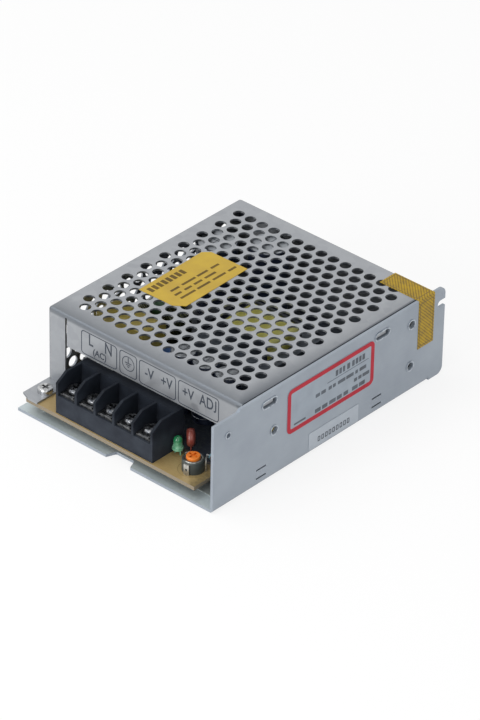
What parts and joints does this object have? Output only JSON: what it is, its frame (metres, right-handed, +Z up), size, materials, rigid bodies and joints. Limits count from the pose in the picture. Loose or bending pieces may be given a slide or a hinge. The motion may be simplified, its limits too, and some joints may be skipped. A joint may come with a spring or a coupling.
{
  "type": "switching power supply",
  "caption": "Enclosed switching power supply: folded sheet chassis with tapped mounting holes, perforated cover, screw terminal block, indicator lamp and voltage trimmer.",
  "frame": {"origin": "middle of the case's footprint, on the bottom plate's lower face", "axes": "+X across the case to its solid side wall with the rating label, +Y from the terminals to the back, +Z up"},
  "size_m": [0.1002, 0.129, 0.0386],
  "materials": {
    "aluminium_sheet": "rolled, faintly blue",
    "zinc_coated_steel": "matt zinc coat",
    "screw_steel": "zinc plated",
    "nickel_screw": "nickel plated, worn slots",
    "tinned_metal": "tinned",
    "clear_film": "thin translucent sheet",
    "board_laminate": "tan laminate with a pale print",
    "black_thermoplastic": "moulded, fine grain",
    "trimmer_grey": "moulded",
    "trimmer_orange": "moulded",
    "green_lamp": "diffused lens",
    "dipped_red": "dipped",
    "dipped_green": "dipped",
    "dipped_blue": "dipped",
    "fuse_glass": "clear tube with plated caps",
    "moulded_yellow": "moulded box",
    "moulded_blue": "moulded box",
    "ring_green": "coated ferrite ring",
    "ring_yellow": "coated powder ring",
    "enamelled_copper": "enamelled copper wire",
    "package_black": "moulded package",
    "can_sleeve": "shrunk sleeve, bare vented top",
    "ferrite": "ground ferrite",
    "bobbin_black": "moulded",
    "winding_tape": "polyester tape over copper",
    "pad_grey": "thermal pad",
    "resistor_coat": "painted film body",
    "label_film": "printed film",
    "label_white": "printed sticker",
    "gold_film": "hatched gold film"
  },
  "bodies": {
    "case": {"auxiliary_capacitor": "can_sleeve", "board_screws": "screw_steel", "bridge_rectifier": "package_black", "bulk_capacitor_1": "can_sleeve", "bulk_capacitor_2": "can_sleeve", "chassis": "aluminium_sheet", "circuit_board": "board_laminate", "control_chip": "package_black", "cover": "zinc_coated_steel", "cover_screws": "screw_steel", "device_screws": "screw_steel", "diode_pad": "pad_grey", "dipped_capacitor": "dipped_red", "fuse": "fuse_glass", "insulating_sheet": "clear_film", "line_choke_core": "ring_green", "line_choke_windings": "enamelled_copper", "optocoupler": "package_black", "output_capacitor_1": "can_sleeve", "output_capacitor_2": "can_sleeve", "output_capacitor_3": "can_sleeve", "output_choke_core": "ring_yellow", "output_choke_winding": "enamelled_copper", "output_diode": "package_black", "power_lamp": "green_lamp", "rating_label": "label_film", "resistors": "resistor_coat", "seal_tape": "gold_film", "serial_sticker": "label_white", "standoffs": "screw_steel", "switching_transistor": "package_black", "terminal_contact_1": "tinned_metal", "terminal_contact_2": "tinned_metal", "terminal_contact_3": "tinned_metal", "terminal_contact_4": "tinned_metal", "terminal_contact_5": "tinned_metal", "terminal_housing": "black_thermoplastic", "thermistor": "dipped_green", "top_sticker": "gold_film", "transformer_bobbin": "bobbin_black", "transformer_core": "ferrite", "transformer_winding": "winding_tape", "transistor_pad": "pad_grey", "trimmer_body": "trimmer_grey", "trimmer_terminals": "tinned_metal", "x_capacitor_1": "moulded_yellow", "x_capacitor_2": "moulded_blue", "y_capacitor_1": "dipped_blue", "y_capacitor_2": "dipped_blue"},
    "rotor": {"trimmer_rotor": "trimmer_orange"},
    "clamp_1": {"terminal_clamp_1": "tinned_metal"},
    "screw_1": {"terminal_screw_1": "nickel_screw"},
    "clamp_2": {"terminal_clamp_2": "tinned_metal"},
    "screw_2": {"terminal_screw_2": "nickel_screw"},
    "clamp_3": {"terminal_clamp_3": "tinned_metal"},
    "screw_3": {"terminal_screw_3": "nickel_screw"},
    "clamp_4": {"terminal_clamp_4": "tinned_metal"},
    "screw_4": {"terminal_screw_4": "nickel_screw"},
    "clamp_5": {"terminal_clamp_5": "tinned_metal"},
    "screw_5": {"terminal_screw_5": "nickel_screw"}
  },
  "joints": [
    {"name": "clamp_slide_1", "type": "slide", "parent": "case", "child": "clamp_1", "axis": [0, 0, 1], "range_m": [0, 0.003]},
    {"name": "screw_turn_1", "type": "hinge", "parent": "clamp_1", "child": "screw_1", "pos_m": [-0.0261, -0.0571, 0.0149], "axis": [0, 0, 1], "range_deg": [0, 1800]},
    {"name": "clamp_slide_2", "type": "slide", "parent": "case", "child": "clamp_2", "axis": [0, 0, 1], "range_m": [0, 0.003]},
    {"name": "screw_turn_2", "type": "hinge", "parent": "clamp_2", "child": "screw_2", "pos_m": [-0.0166, -0.0571, 0.0149], "axis": [0, 0, 1], "range_deg": [0, 1800]},
    {"name": "clamp_slide_3", "type": "slide", "parent": "case", "child": "clamp_3", "axis": [0, 0, 1], "range_m": [0, 0.003]},
    {"name": "screw_turn_3", "type": "hinge", "parent": "clamp_3", "child": "screw_3", "pos_m": [-0.0071, -0.0571, 0.0149], "axis": [0, 0, 1], "range_deg": [0, 1800]},
    {"name": "clamp_slide_4", "type": "slide", "parent": "case", "child": "clamp_4", "axis": [0, 0, 1], "range_m": [0, 0.003]},
    {"name": "screw_turn_4", "type": "hinge", "parent": "clamp_4", "child": "screw_4", "pos_m": [0.0024, -0.0571, 0.0149], "axis": [0, 0, 1], "range_deg": [0, 1800]},
    {"name": "clamp_slide_5", "type": "slide", "parent": "case", "child": "clamp_5", "axis": [0, 0, 1], "range_m": [0, 0.003]},
    {"name": "screw_turn_5", "type": "hinge", "parent": "clamp_5", "child": "screw_5", "pos_m": [0.0119, -0.0571, 0.0149], "axis": [0, 0, 1], "range_deg": [0, 1800]},
    {"name": "trimmer_turn", "type": "hinge", "parent": "case", "child": "rotor", "pos_m": [0.0304, -0.0546, 0.011], "axis": [0, 0, 1], "range_deg": [-115, 115]}
  ],
  "couplings": [
    {"joint": "screw_turn_1", "follows": "clamp_slide_1", "rad_per_m": 10472},
    {"joint": "screw_turn_2", "follows": "clamp_slide_2", "rad_per_m": 10472},
    {"joint": "screw_turn_3", "follows": "clamp_slide_3", "rad_per_m": 10472},
    {"joint": "screw_turn_4", "follows": "clamp_slide_4", "rad_per_m": 10472},
    {"joint": "screw_turn_5", "follows": "clamp_slide_5", "rad_per_m": 10472}
  ]
}
